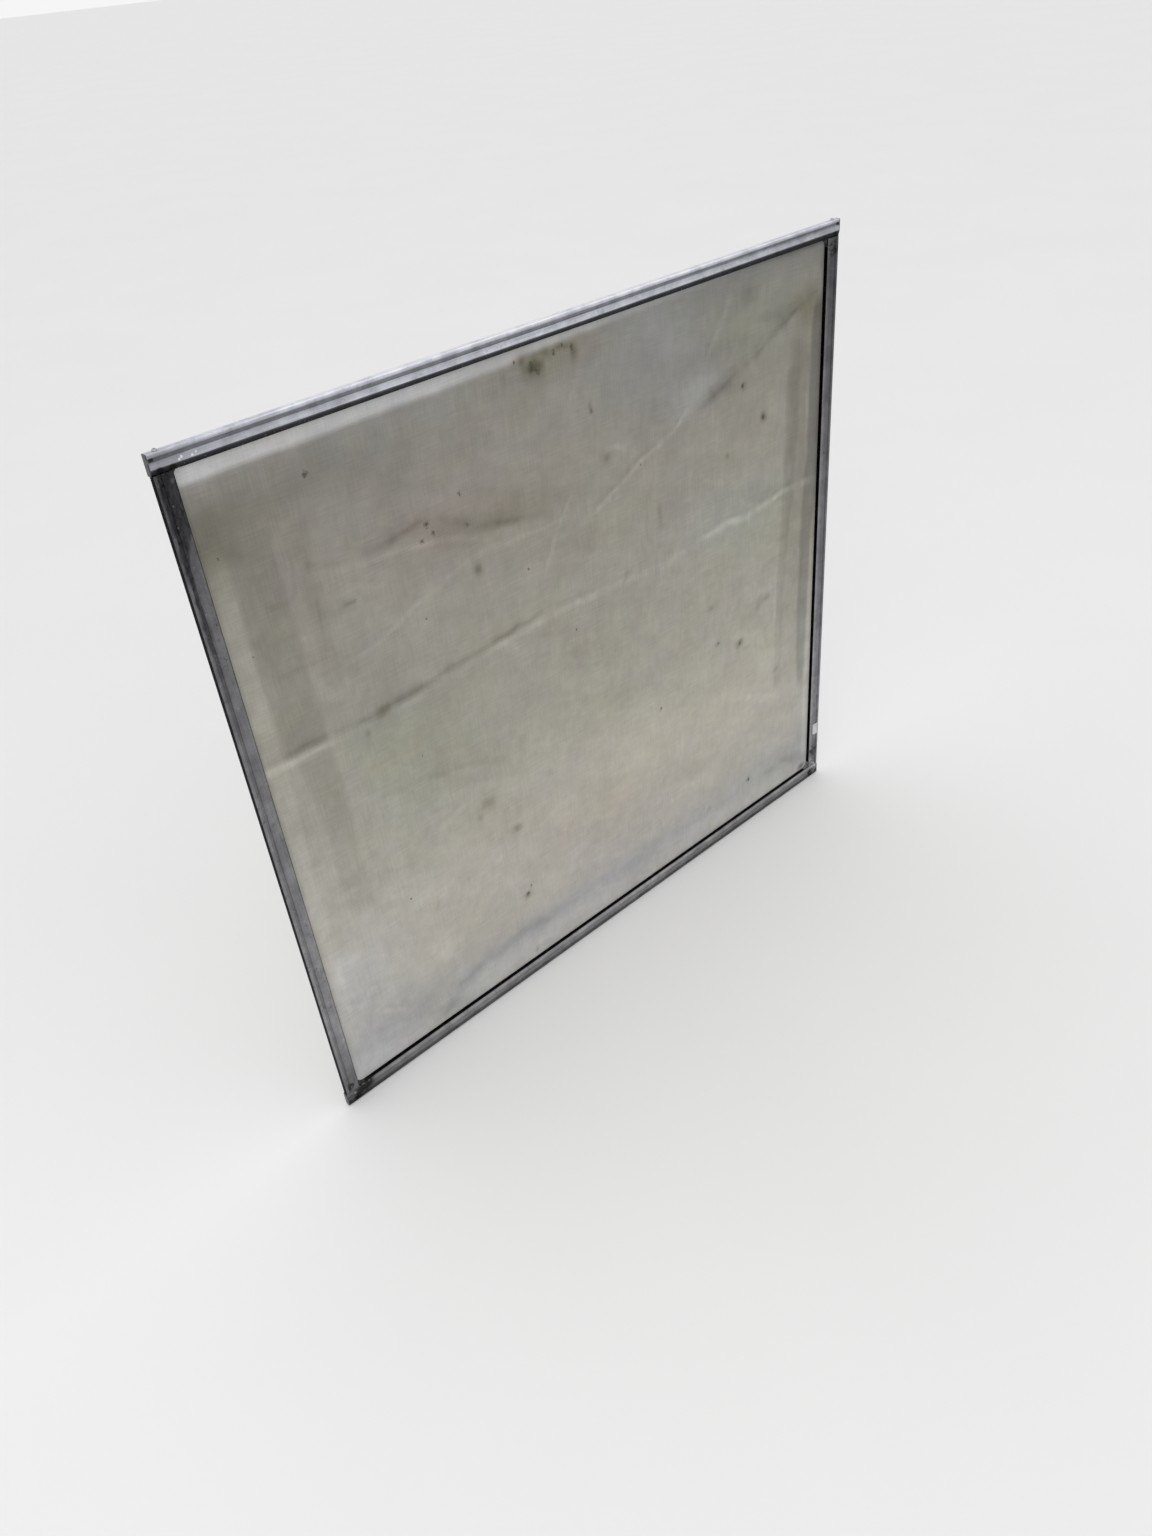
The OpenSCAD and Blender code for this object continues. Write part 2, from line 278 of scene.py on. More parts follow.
def rail_metal(name, inwards, along, tones, run, tint, grime=0.35, marks=(), bend=None, ink_from=None):
    """Extruded aluminium. inwards gives u from the shader and along is the rail's direction, "x" or
    "z". ink_from is the height an inky end starts at."""
    s = Shader(name, metallic=0.85, Specular_Tint=(0.4, 0.4, 0.42, 1.0), Specular_IOR_Level=0.3)
    u = inwards(s)
    if bend:
        u = bend_lines(s, u, along, bend)
    # Each rail's tones, with their painted light and shade, laid across its face
    stops = [(mm * MM / RAIL_W, tuple(c * t for c, t in zip(linear(tone), tint))) for mm, tone in tones]
    colour = s.ramp(u, stops)
    half_level = ramp_along(s, along, [(mm, factor ** 2 / 2) for mm, factor in run])
    colour = s.mix(1.0, s.dim(colour, 2.0), half_level, "MULTIPLY")
    grain = {"x": (0.09, 0.0006, 0.0006), "z": (0.0006, 0.0006, 0.09)}[along]
    drawn = s.noise(grain, detail=3.0)
    colour = s.dim(colour, s.fade(drawn, 0.25, 0.75, 0.80, 1.20))
    clouds = s.noise(0.030, detail=7.0, roughness=0.68)
    colour = s.dim(colour, s.fade(clouds, 0.32, 0.68, 0.80, 1.20))
    stained = s.noise((0.012, 0.006, 0.012), detail=8.0, roughness=0.7, low=0.56, high=0.70, shift=3.1)
    stained = s.math("MULTIPLY", stained, grime)
    colour = s.mix(stained, colour, linear(38, 36, 40))
    flecks = s.noise(0.0022, detail=2.0, low=0.68, high=0.74, shift=7.7)
    colour = s.mix(s.math("MULTIPLY", flecks, 0.45), colour, linear(188, 186, 190))
    if ink_from:
        colour = inky_end(s, colour, u, s.math("SUBTRACT", ink_from, s.z))
    colour = add_marks(s, colour, marks)
    rough = s.math("ADD", s.fade(drawn, 0.3, 0.7, 0.34, 0.46), s.math("MULTIPLY", stained, 0.5), clamp=True)
    normal = s.bump(drawn, 0.00008, 0.6)
    normal = s.bump(s.noise(0.0015, detail=3.0), 0.00010, 0.5, under=normal)
    return s.finish(colour, rough, normal)


def u_of(axis, edge, sign):
    """Distance inwards from a rail's outer wall, as a share of the rail's width."""
    def build(s):
        away = s.math("SUBTRACT", getattr(s, axis), edge)
        return s.math("MULTIPLY", away, sign / RAIL_W, clamp=True)
    return build


def at_corner(side_x, side_z, along, inwards):
    """A point of the front face near a corner: along from the side edge, inwards from the top or base."""
    edge_x = RIGHT[1].x if side_x > 0 else LEFT[0].x
    edge_z = TOP[1].z if side_z > 0 else BOTTOM[0].z
    return (edge_x - side_x * along * MM, FRONT_Y, edge_z - side_z * inwards * MM)


def paint(node, material):
    """Gives a CAD node one material."""
    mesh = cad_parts[node].data
    mesh.materials.clear()
    mesh.materials.append(material)
    for polygon in mesh.polygons:
        polygon.material_index = 0


# Tints of the rails' metal, and the display tones of ink and of metal rubbed bare
COOL = (0.965, 0.985, 1.08)
NEUTRAL = (1.0, 0.99, 1.0)
VIOLET = (0.995, 0.985, 1.03)
INK = 28
BARE = 226

paint("top_rail", rail_metal(
    "metal_top", u_of("z", TOP[1].z, -1), "x", TOP_TONES, TOP_RUN, COOL, grime=0.22, bend=TOP_BEND,
    marks=[
        (at_corner(-1, 1, 5, 7), 0.003, 44, 0.8),
        (at_corner(-1, 1, 33, 15), 0.0018, BARE, 0.5),
        (at_corner(-1, 1, 36, 13), 0.0022, BARE, 0.3),
        (at_corner(-1, 1, 48, 15), 0.0018, BARE, 0.4),
        (at_corner(-1, 1, 53, 13), 0.0014, BARE, 0.5),
        (at_corner(-1, 1, 10, 21), 0.006, 24, 0.9),
        (at_corner(-1, 1, 24, 22), 0.006, 24, 0.9),
        (at_corner(1, 1, 9, 20), 0.005, 30, 0.6),
        (at_corner(1, 1, 4, 6), 0.003, 60, 0.5),
    ],
))
paint("bottom_rail", rail_metal(
    "metal_bottom", u_of("z", BOTTOM[0].z, 1), "x", BOTTOM_TONES, BOTTOM_RUN, NEUTRAL, grime=0.4,
    marks=[
        (at_corner(-1, -1, 14, 17), 0.0022, 190, 0.3),
        (at_corner(-1, -1, 17, 8), 0.009, INK, 0.4),
        (at_corner(-1, -1, 32, 22), 0.022, 40, 0.35),
        (at_corner(1, -1, 6, 19), 0.003, 200, 0.3),
        (at_corner(1, -1, 20, 9), 0.012, INK, 0.2),
    ],
))
paint("left_rail", rail_metal(
    "metal_left", u_of("x", LEFT[0].x, 1), "z", LEFT_TONES, LEFT_RUN, VIOLET, grime=0.4,
    ink_from=TOP[0].z,
    marks=[
        (at_corner(-1, 1, 8, 36), 0.003, INK, 0.9),
        (at_corner(-1, 1, 20, 34), 0.004, 84, 0.2),
        (at_corner(-1, 1, 12, 60), 0.0013, 100, 0.3),
        (at_corner(-1, 1, 10, 84), 0.0013, 100, 0.3),
        (at_corner(-1, -1, 10, 36), 0.008, 60, 0.3),
    ],
))
paint("right_rail", rail_metal(
    "metal_right", u_of("x", RIGHT[1].x, -1), "z", RIGHT_TONES, RIGHT_RUN, VIOLET, grime=0.35,
    marks=[
        (at_corner(1, -1, 10, 28), 0.0035, BARE, 0.2),
        (at_corner(1, -1, 16, 32), 0.0025, 190, 0.2),
        (at_corner(1, -1, 19, 40), 0.0025, 190, 0.2),
        (at_corner(1, -1, 12, 60), 0.016, 70, 0.2),
        (at_corner(1, 1, 12, 40), 0.014, 44, 0.1),
    ],
))


def worn_metal(name, tone, roughness, spread=0.25, grain=0.002):
    """Small metal parts: cloudy, slightly pitted metal."""
    s = Shader(name, metallic=0.85)
    clouds = s.noise(grain, detail=5.0)
    colour = s.dim(linear(tone), s.fade(clouds, 0.3, 0.7, 1 - spread, 1 + spread))
    rough = s.fade(clouds, 0.3, 0.7, roughness - 0.08, roughness + 0.12)
    return s.finish(colour, rough, s.bump(s.noise(grain / 4, detail=3.0), 0.00006, 0.6))


key_metal = worn_metal("metal_key", 150, 0.5, grain=0.004)
for corner in CORNERS:
    paint(f"corner_key_{corner}", key_metal)
paint("tie_screws", worn_metal("metal_screw", 176, 0.32))
rivet_metal = worn_metal("metal_rivet", 44, 0.42)
for node in ("key_rivets", "plug_rivets"):
    paint(node, rivet_metal)


# ---------------------------------------------------------------- plastic, glue, sealant, label

def plug_plastic():
    """Dark plastic with pale scuffs."""
    s = Shader("plastic_plug")
    scuffs = s.noise((0.004, 0.0008, 0.004), detail=6.0, low=0.48, high=0.72)
    colour = s.mix(s.math("MULTIPLY", scuffs, 0.55), linear(50, 50, 54), linear(132, 131, 134))
    rough = s.fade(scuffs, 0.0, 1.0, 0.42, 0.7)
    return s.finish(colour, rough, s.bump(s.noise(0.0006, detail=2.0), 0.00005, 0.5))


plastic = plug_plastic()
for corner in CORNERS:
    paint(f"end_plug_{corner}", plastic)


def glue_resin():
    """Yellowed glue that has run unevenly."""
    s = Shader("resin_glue", roughness=0.3)
    runs = s.noise(0.012, detail=5.0)
    colour = s.mix(s.fade(runs, 0.3, 0.7), linear(150, 138, 104), linear(196, 186, 152))
    return s.finish(colour, s.fade(runs, 0.3, 0.7, 0.22, 0.5), s.bump(runs, 0.0003, 0.5))


resin = glue_resin()
for side in ("top", "bottom", "left", "right"):
    paint(f"glue_line_{side}", resin)


def sealant_rubber(name="rubber_sealant", dark=20, light=52):
    """Sealant with a skin between two display tones."""
    s = Shader(name, roughness=0.5)
    skin = s.noise(0.003, detail=5.0)
    colour = s.mix(s.fade(skin, 0.42, 0.66), linear(dark), linear(light))
    return s.finish(colour, s.fade(skin, 0.3, 0.7, 0.38, 0.62), s.bump(skin, 0.0003, 0.6))


def label_paper():
    """Pale fibrous paper, soiled in patches and blank."""
    s = Shader("paper_label", roughness=0.75)
    fibre = s.noise((0.0008, 0.0008, 0.0022), detail=4.0)
    soil = s.noise(0.006, detail=5.0, low=0.52, high=0.75, shift=1.3)
    colour = s.mix(s.fade(fibre, 0.3, 0.7), linear(186, 183, 184), linear(206, 203, 204))
    colour = s.mix(s.math("MULTIPLY", soil, 0.6), colour, linear(140, 136, 134))
    return s.finish(colour, None, s.bump(fibre, 0.00004, 0.6))


paint("blank_label", label_paper())


# ---------------------------------------------------------------- the mesh, painted and creased

CELL = 3.5                      # mm, one grid cell of the mesh
MARK_SCALE = 1.00306            # marks are placed on a plane 3.6 mm behind the mesh, as the camera sees it
MARK_SHIFT = (3.0, -2.8)        # mm
HALF_FIELD = 700                # mm; noise covers this far from the frame's middle, each way
TURN_FIT = 0.7                  # shrinks the grid so that it stays in the noise's field when turned
MESH_LIGHT = 1.05               # radiance of a white surface that stands where the mesh does


def smooth(share):
    """Eases a share from 0 to 1 in and out."""
    return share * share * (3 - 2 * share)


def turned(x, z, degrees):
    """x and z along axes turned by degrees."""
    c, s = math.cos(math.radians(degrees)), math.sin(math.radians(degrees))
    return x * c + z * s, z * c - x * s


def cloudy(x, z, size, seed):
    """Smooth seeded noise from -1 to 1 at x and z, in mm. size is its grain along x and z."""
    columns, rows = (int(2 * HALF_FIELD / grain) + 4 for grain in size)
    grid = np.random.default_rng(seed).uniform(-1, 1, (rows, columns))
    u = np.clip((x + HALF_FIELD) / size[0], 0, columns - 2)
    v = np.clip((z + HALF_FIELD) / size[1], 0, rows - 2)
    i, j = u.astype(int), v.astype(int)
    u, v = smooth(u - i), smooth(v - j)
    below = grid[j, i] * (1 - u) + grid[j, i + 1] * u
    above = grid[j + 1, i] * (1 - u) + grid[j + 1, i + 1] * u
    return below * (1 - v) + above * v


class Cloth:
    """The mesh as a grid of points in mm from the frame's middle. tone holds a display tone from 0 to
    255, painted light and shade included, warm how much weaker blue is than red, green how much green is
    raised, and lift the relief.
    x and z are where marks are looked up, a little wavy so that no fold or stain is drawn by ruler."""

    def __init__(self, low, high):
        columns = round((high.x - low.x) / MM / CELL)
        rows = round((high.z - low.z) / MM / CELL)
        xs = np.linspace(low.x - MIDDLE.x, high.x - MIDDLE.x, columns + 1) / MM
        zs = np.linspace(low.z - MIDDLE.z, high.z - MIDDLE.z, rows + 1) / MM
        self.at_x, self.at_z = np.meshgrid(xs, zs)
        self.x = self.at_x * MARK_SCALE + MARK_SHIFT[0]
        self.z = self.at_z * MARK_SCALE + MARK_SHIFT[1]
        self.wavy_x = self.x + 3.0 * self.noise(60, 60, 1) + 1.6 * self.noise(22, 22, 2)
        self.wavy_z = self.z + 3.0 * self.noise(60, 60, 3) + 1.8 * self.noise(20, 20, 4)
        for layer in ("tone", "warm", "green", "lift"):
            setattr(self, layer, np.zeros(self.x.shape))

    def noise(self, wide, high, seed, turn=0.0):
        """Smooth noise whose grain is wide and high mm, turned by turn degrees."""
        x, z = turned(self.x, self.z, turn)
        return cloudy(x * TURN_FIT, z * TURN_FIT, (wide * TURN_FIT, high * TURN_FIT), seed)

    def inside(self):
        """How far every grid point lies inside the opening of the frame, in mm; less than 0 over the
        rails."""
        half = (OPEN_HIGH - MIDDLE) / MM
        return np.minimum(half.x - np.abs(self.at_x), half.z - np.abs(self.at_z))

    def change(self, layer, amount):
        """Adds amount to a layer."""
        setattr(self, layer, getattr(self, layer) + amount)

    def follow(self, points):
        """Signed distance of every grid point from a line through points, positive on its left, and
        how far along the line it lies, from 0 to 1."""
        best = np.full(self.x.shape, 1e9)
        side, along = np.ones(self.x.shape), np.zeros(self.x.shape)
        lengths = [math.dist(p, q) for p, q in zip(points, points[1:])]
        done = 0.0
        for (ax, az), (bx, bz), length in zip(points, points[1:], lengths):
            px, pz = self.wavy_x - ax, self.wavy_z - az
            dx, dz = (bx - ax) / length, (bz - az) / length
            t = np.clip(px * dx + pz * dz, 0, length)
            far = np.hypot(px - t * dx, pz - t * dz)
            closer = far < best
            best = np.where(closer, far, best)
            side = np.where(closer, np.sign(dx * pz - dz * px), side)
            along = np.where(closer, (done + t) / sum(lengths), along)
            done += length
        return best * side, along

    def strength(self, points, along, seed):
        """Uneven strength of a fold: it comes and goes, and fades out at both ends."""
        ends = np.clip(np.minimum(along, 1 - along) * 7, 0, 1)
        reach = sum(math.dist(p, q) for p, q in zip(points, points[1:]))
        far = along * reach - HALF_FIELD
        uneven = cloudy(far, along * 0 + seed * 3.0, (40, 50), seed)
        uneven += 0.5 * cloudy(far, along * 0 + seed * 5.0, (11, 50), seed + 1)
        return ends * np.clip(0.62 + 0.62 * uneven, 0.1, 1.2)

    def line(self, points, change, width=4.0):
        """Changes the tone along a line, fading over width."""
        far, along = self.follow(points)
        self.tone += change * np.exp(-((far / width) ** 2)) * self.strength(points, along, len(points))

    def crease(self, points, dark, light, width=4.0, gap=8.0, shade=0.35):
        """A pressed fold, raised a little, with its light and shade painted: a dark line of painted shade,
        a line of painted highlight gap mm to its right, and a soft painted shade on its left that dies
        away. Points run from left to right, so its left is above it."""
        far, along = self.follow(points)
        strong = self.strength(points, along, len(points) + 5)
        width = width * (1.15 + 0.4 * self.noise(45, 45, 51) + 0.3 * self.noise(16, 16, 52))
        self.tone -= dark * strong * np.exp(-((far / width) ** 2))
        self.tone += light * strong * np.exp(-(((far + gap) / (width * 1.2)) ** 2))
        self.tone -= dark * shade * strong * np.exp(-np.abs(far) / (4 * width)) * (far > 0)
        self.lift += 0.5 * strong * np.exp(-(((far + gap / 2) / gap) ** 2))

    def patch(self, x, z, rx, rz, change, layer="tone", turn=0.0, sharp=1.0):
        """Changes the tone, or another layer, in a soft ellipse turned by turn degrees."""
        along, across = turned(self.wavy_x - x, self.wavy_z - z, turn)
        far = np.hypot(along / rx, across / rz)
        self.change(layer, change * np.exp(-(far ** (2 * sharp))))

    def band(self, points, change, soft=7.0, layer="tone"):
        """Changes the tone in an upright band. points are (z, x of its left edge, x of its right edge)
        from the bottom up, and outside their heights the band fades away."""
        heights = [p[0] for p in points]
        left = np.interp(self.z, heights, [p[1] for p in points])
        right = np.interp(self.z, heights, [p[2] for p in points])
        x = self.x + 0.5 * (self.wavy_x - self.x)
        inside = (1 + np.tanh((x - left) / soft * 2)) * (1 + np.tanh((right - x) / soft * 2)) / 4
        ends = np.clip((self.z - heights[0]) / 20, 0, 1) * np.clip((heights[-1] - self.z) / 20, 0, 1)
        self.change(layer, change * inside * ends)


def paint_ground(c):
    """The mesh's colour with painted light and shade: darker towards the top and lighter near the bottom,
    greyer towards the top, with broad darker and lighter areas.
    """
    heights = [-500, -480, -450, -420, -370, -300, -220, -130, -60, 0, 130, 250, 330, 400, 450, 500]
    tones = [184, 180, 173, 173, 178, 178, 178, 171, 164, 160, 154, 148, 144, 141, 141, 142]
    warmth = [5, 6, 7, 9, 12, 14, 14, 13, 13, 14, 13, 13, 13, 12, 10, 5]
    # Painted light and shade: the tone falls towards the top and rises near the bottom
    c.tone += np.interp(c.z, heights, tones)
    c.warm += np.interp(c.z, heights, warmth)
    c.patch(540, 510, 330, 45, -22)
    c.patch(545, 150, 60, 330, -8)
    c.patch(-530, 413, 48, 42, -22)
    c.patch(-415, 430, 120, 42, -13)
    c.patch(-30, 455, 60, 26, -10)
    c.patch(512, 402, 30, 30, -17)
    c.patch(491, 345, 20, 18, -10)
    c.patch(377, 455, 25, 15, -10)
    c.patch(427, 414, 35, 9, -10)
    c.patch(-136, 286, 110, 25, -9)
    c.patch(-200, 300, 60, 16, -6, turn=-20)
    c.patch(262, 345, 50, 26, 14, turn=28)
    c.patch(300, 385, 60, 26, -8)
    c.patch(330, 330, 22, 14, -10)
    c.patch(-325, -10, 110, 110, -6)
    c.patch(-400, 60, 60, 40, -4)
    c.patch(180, -230, 230, 130, 5)
    c.patch(-470, -250, 45, 40, 8)
    c.patch(-345, -360, 30, 34, 8)
    c.patch(-505, -300, 30, 50, 6)
    c.patch(-480, -430, 40, 26, -8)
    c.patch(-484, -340, 14, 50, -7, turn=-8)
    c.patch(-398, -442, 34, 26, -9, turn=-20)
    c.patch(-515, -275, 20, 26, 7)
    c.patch(-510, -460, 30, 18, 6)


def paint_tints(c):
    """Greenish, bluish and brown areas."""
    c.patch(-325, -5, 95, 100, 3, "green")
    c.patch(-60, -80, 120, 50, 2, "green")
    c.patch(363, 90, 120, 70, 3, "green")
    c.patch(400, 420, 120, 70, 2, "green")
    c.patch(-200, 330, 230, 90, -2, "green")
    c.patch(-60, -300, 360, 120, -2, "green")
    c.patch(185, 415, 90, 70, -8, "warm")
    c.patch(330, 130, 120, 50, -6, "warm")
    c.patch(-490, -350, 85, 150, -9, "warm")
    c.patch(262, 345, 60, 40, -9, "warm")
    c.patch(20, 470, 60, 18, 8, "warm")
    c.patch(513, 409, 30, 25, 8, "warm")
    c.patch(-136, 286, 110, 30, 4, "warm")
    c.patch(100, -200, 300, 140, 3, "warm")
    c.patch(0, -450, 460, 30, -5, "warm")
    c.patch(540, -400, 22, 120, -6, "warm")


def paint_bands(c):
    """Upright bands of painted shade and light: the side rails' painted shadows, lighter strips of painted
    light between them and the rails, and thin upright lines.
    """
    # The left rail's painted shadow, with a lighter strip of painted light beside the rail
    c.band([(-205, -478, -440), (0, -485, -442), (150, -509, -447), (400, -515, -455)], -10)
    c.band([(150, -429, -404), (400, -429, -404)], -6, soft=5)
    c.band([(-440, -545, -520), (-200, -545, -515), (335, -545, -512)], 8, soft=5)
    c.band([(-275, 445, 466), (-100, 447, 466), (0, 452, 473), (100, 460, 488), (330, 468, 500)],
           -11, soft=5)
    # The right rail's painted shadow beside the rail, with lighter strips of painted light next to the rail
    edge = [(-300, 516, 530), (-200, 508, 534), (0, 510, 537), (60, 514, 546), (130, 517, 560),
            (165, 523, 560), (370, 525, 560), (420, 536, 560)]
    c.band(edge, -24, soft=6)
    c.band(edge, -4, soft=6, layer="warm")
    c.band([(-260, 470, 520), (-200, 462, 516), (350, 476, 524)], -8, soft=12)
    c.band([(-480, 533, 552), (-285, 533, 552)], 14, soft=4)
    c.band([(-300, 536, 552), (10, 538, 552)], 12, soft=4)
    c.line([(519, 372), (521, 270), (518, 165)], 13, 4)
    c.line([(445, -7), (445, -126)], 9, 3)
    c.line([(240, 300), (240, 150)], 4, 5)
    c.line([(10, 130), (10, -130)], 4, 5)
    c.line([(-415, 392), (-414, 300), (-416, 210)], -10, 3)
    c.line([(-437, 345), (-437, 315)], -9, 2.5)


def paint_edges(c):
    """What the frame does to its edges, in painted light and shade: a strip under the top rail, painted
    light at its left and painted shade at its right, the bottom rail's painted shadow in an arc above the
    bottom edge, darker patches along the bottom edge, and a line of painted shade beside the left rail.
    """
    # A strip under the top rail: painted light at its left, painted shade at its right
    low = np.interp(c.x, [-545, -150, -60, 30, 250, 545], [473, 475, 479, 484, 487, 490])
    tone = np.interp(c.x, [-545, -200, -100, 50, 250, 420, 545], [186, 185, 175, 174, 152, 120, 84])
    share = smooth(np.clip((c.wavy_z * 0.4 + c.z * 0.6 - low) / 10 + 0.5, 0, 1))
    c.tone += (tone - c.tone) * share
    c.warm *= 1 - share
    # The bottom rail's painted shadow: a dark arc with slightly lighter tone below it
    xs = [-400, -366, -328, -274, -193, -122, 0, 135, 260, 450]
    arc = np.interp(c.x, xs, [-520, -478, -446, -430, -421, -428, -427, -432, -440, -445])
    fades = np.interp(c.x, [-380, -340, -120, 0, 450], [0, 1, 1, 0.35, 0.3])
    c.tone -= 14 * fades * np.exp(-np.abs((c.wavy_z - arc + 8) / 12) ** 2) * (1 + 0.4 * c.noise(50, 30, 53))
    c.tone += 4 * fades * np.exp(-(((c.wavy_z - arc + 38) / 16) ** 2))
    c.warm -= 5 * fades * np.exp(-(((c.wavy_z - arc + 10) / 16) ** 2))
    # Darker patches along the bottom edge and a dark patch in the bottom right corner
    c.patch(534, -492, 9, 6, -62, sharp=1.3)
    c.patch(525, -474, 20, 16, -12)
    c.patch(-344, -484, 34, 18, -19)
    c.patch(-110, -490, 40, 14, -9)
    c.patch(500, -455, 34, 12, -10, turn=-35)
    # A line of painted shade beside the left rail
    c.patch(-546, 0, 5, 600, -8)


def paint_creases(c):
    """Long pressed folds across the mesh, raised a little, with painted shade and painted highlights along
    them.
    """
    c.crease([(-560, 106), (-491, 101), (-361, 97), (-242, 106), (-166, 112), (-85, 119), (10, 121)],
             20, 8, 5.0, 11)
    c.crease([(-590, 106), (-500, 101), (-415, 98)], 4, 26, 4.0, 12, shade=0)
    c.crease([(-200, 110), (-120, 116), (-30, 121), (60, 116)], 2, 12, 4.0, 10, shade=0)
    c.patch(-250, 102, 120, 8, -5, turn=4)
    c.crease([(-30, 120), (60, 112), (160, 108), (262, 112)], 5, 9, 5.0, 8)
    c.crease([(220, 112), (303, 117), (368, 116), (460, 124), (580, 124)], 8, 24, 5.0, 7)
    c.line([(-560, 370), (-525, 358), (-490, 348)], -13, 4)
    c.line([(-490, 346), (-430, 330), (-360, 315)], -8, 5)
    c.crease([(-350, 313), (-300, 317), (-250, 327), (-209, 314), (-168, 286), (-113, 273), (-30, 262)],
             15, 4, 5.5, 10, shade=0.5)
    c.line([(-409, 309), (-340, 305), (-254, 298), (-200, 286), (-159, 268), (-109, 241)], 11, 4)
    c.line([(-404, 184), (-354, 191), (-318, 205), (-290, 220), (-227, 236), (-181, 252),
            (-90, 246), (-4, 245)], 12, 4)
    c.crease([(-68, 173), (-45, 218), (-22, 254), (0, 282)], 4, 10, 3.5, 5)
    c.line([(-20, 272), (8, 240), (24, 222)], 9, 3)
    c.crease([(30, 231), (82, 254), (136, 283), (200, 301)], 8, 16, 3.5, 6)
    c.crease([(190, 296), (214, 312), (240, 331)], 6, 16, 3.5, 6)
    c.crease([(245, 306), (291, 324), (345, 345), (391, 359), (436, 384), (482, 405), (545, 424)],
             16, -6, 5.0, -12, shade=0.6)


def paint_short_folds(c):
    """Short folds and strokes between the long creases; the folds' light and shade are painted."""
    c.line([(70, 450), (60, 405), (55, 372)], 12, 3.5)
    c.line([(47, 392), (51, 372)], -26, 2.5)
    c.line([(84, 318), (136, 295)], 13, 3.5)
    c.line([(14, 430), (48, 418), (66, 402)], 7, 4)
    c.crease([(266, 378), (300, 423), (330, 470)], 5, 10, 3.5, 6)
    c.line([(-540, 206), (-413, 206)], -7, 4)
    c.line([(-455, 246), (-395, 234)], 10, 4)
    c.line([(264, 205), (318, 182)], 11, 3.5)
    c.line([(135, 42), (190, 42), (293, 55)], 6, 5)
    c.line([(-85, 88), (-17, 66)], -8, 4)
    c.line([(-12, 118), (18, 100)], 8, 3)
    c.crease([(-410, -29), (-328, -40), (-242, -55), (-177, -83)], 8, 3, 5.0, 9)
    c.crease([(-366, -132), (-285, -124), (-231, -99)], 6, 3, 5.0, 9)
    c.line([(-410, 170), (-360, 130)], 6, 4)
    c.line([(-380, 20), (-340, -10), (-310, -40)], 6, 5)
    c.line([(84, 96), (103, 123)], -12, 3.5)
    c.line([(95, 100), (118, 132)], -7, 3)
    c.crease([(-485, -378), (-455, -398), (-425, -418)], 6, 12, 4.0, 6)
    c.crease([(-545, -330), (-500, -350), (-470, -330)], 4, 8, 5.0, 7)
    c.line([(-382, 262), (-360, 264)], -16, 2.5)
    c.line([(235, -60), (330, -100), (440, -160)], 7, 7)
    c.line([(250, -200), (380, -250), (500, -310)], 6, 8)
    c.line([(-160, -60), (0, -88), (180, -90), (330, -60)], -3, 10)


def paint_wear(c):
    """Uneven washing-out, brushed along slanting strokes, and the painted light and shade of small random
    folds.
    """
    slanted = c.noise(150, 22, 11, turn=-22) * 2.4 + c.noise(70, 9, 12, turn=-22) * 1.6
    crumple = c.noise(120, 120, 13) + 0.5 * c.noise(60, 60, 14)
    # Each small fold is a light line beside a dark one: painted light and shade, with no relief
    folds = np.exp(-((crumple / 0.05) ** 2)) - np.exp(-(((crumple + 0.07) / 0.07) ** 2))
    c.tone += slanted * np.interp(c.z, [-500, -100, 200, 500], [1.0, 1.0, 0.7, 0.6])
    c.tone += c.noise(90, 70, 15) * 3.4 + c.noise(30, 34, 16) * 2.0 + c.noise(8, 18, 17) * 2.0
    c.tone += 3.4 * folds * (0.5 + 0.5 * c.noise(160, 160, 18))
    c.warm += c.noise(80, 60, 19) * 1.6 + c.noise(26, 26, 20) * 1.3
    c.green += c.noise(70, 70, 21) * 0.8 + c.noise(24, 24, 22) * 0.8


def paint_stains(c):
    """Soft stains: (x, z, half width, half height, tone change, extra warmth)."""
    stains = [
        (-43, 460, 15, 13, -36, 10), (-62, 476, 12, 8, -20, 8), (-20, 473, 12, 6, -22, 8),
        (8, 476, 13, 5, -24, 8), (26, 466, 5, 9, -20, 6), (-172, 230, 7, 7, -34, 6),
        (-358, 96, 13, 10, -20, 5), (-389, 73, 4, 8, -16, 3), (73, 304, 9, 7, -16, 4),
        (360, 324, 6, 7, -26, 2), (408, 260, 8, 7, -30, 2), (326, 225, 4, 4, -22, 0),
        (173, 182, 5, 19, -14, 2), (-217, -145, 16, 12, -14, 5), (-238, -160, 7, 6, -10, 3),
        (-170, -222, 10, 8, -18, 4), (-342, -270, 8, 12, -10, 4), (-172, -360, 8, 7, -30, 3),
        (-163, -346, 3, 4, -20, 2), (-170, -487, 4, 6, -22, 2), (154, -160, 4, 4, -16, 0),
        (295, -100, 5, 4, -16, 0), (352, -125, 8, 7, -26, 2), (284, -26, 5, 5, -12, 0),
        (417, -64, 18, 7, -12, 2), (400, -76, 8, 8, -8, 2), (449, -223, 6, 6, -20, 0),
        (374, -435, 6, 6, -30, -6), (263, -440, 6, 6, -10, 0), (-415, 330, 5, 9, -10, 2),
        (-376, 262, 10, 6, -9, 1), (110, 270, 5, 4, -8, 0), (438, -448, 14, 7, -9, 0),
    ]
    ragged = 1.25 + 0.7 * c.noise(7, 11, 54)
    for x, z, rx, rz, change, warmth in stains:
        c.patch(x, z, rx, rz, change * ragged)
        c.patch(x, z, rx, rz, warmth, "warm")


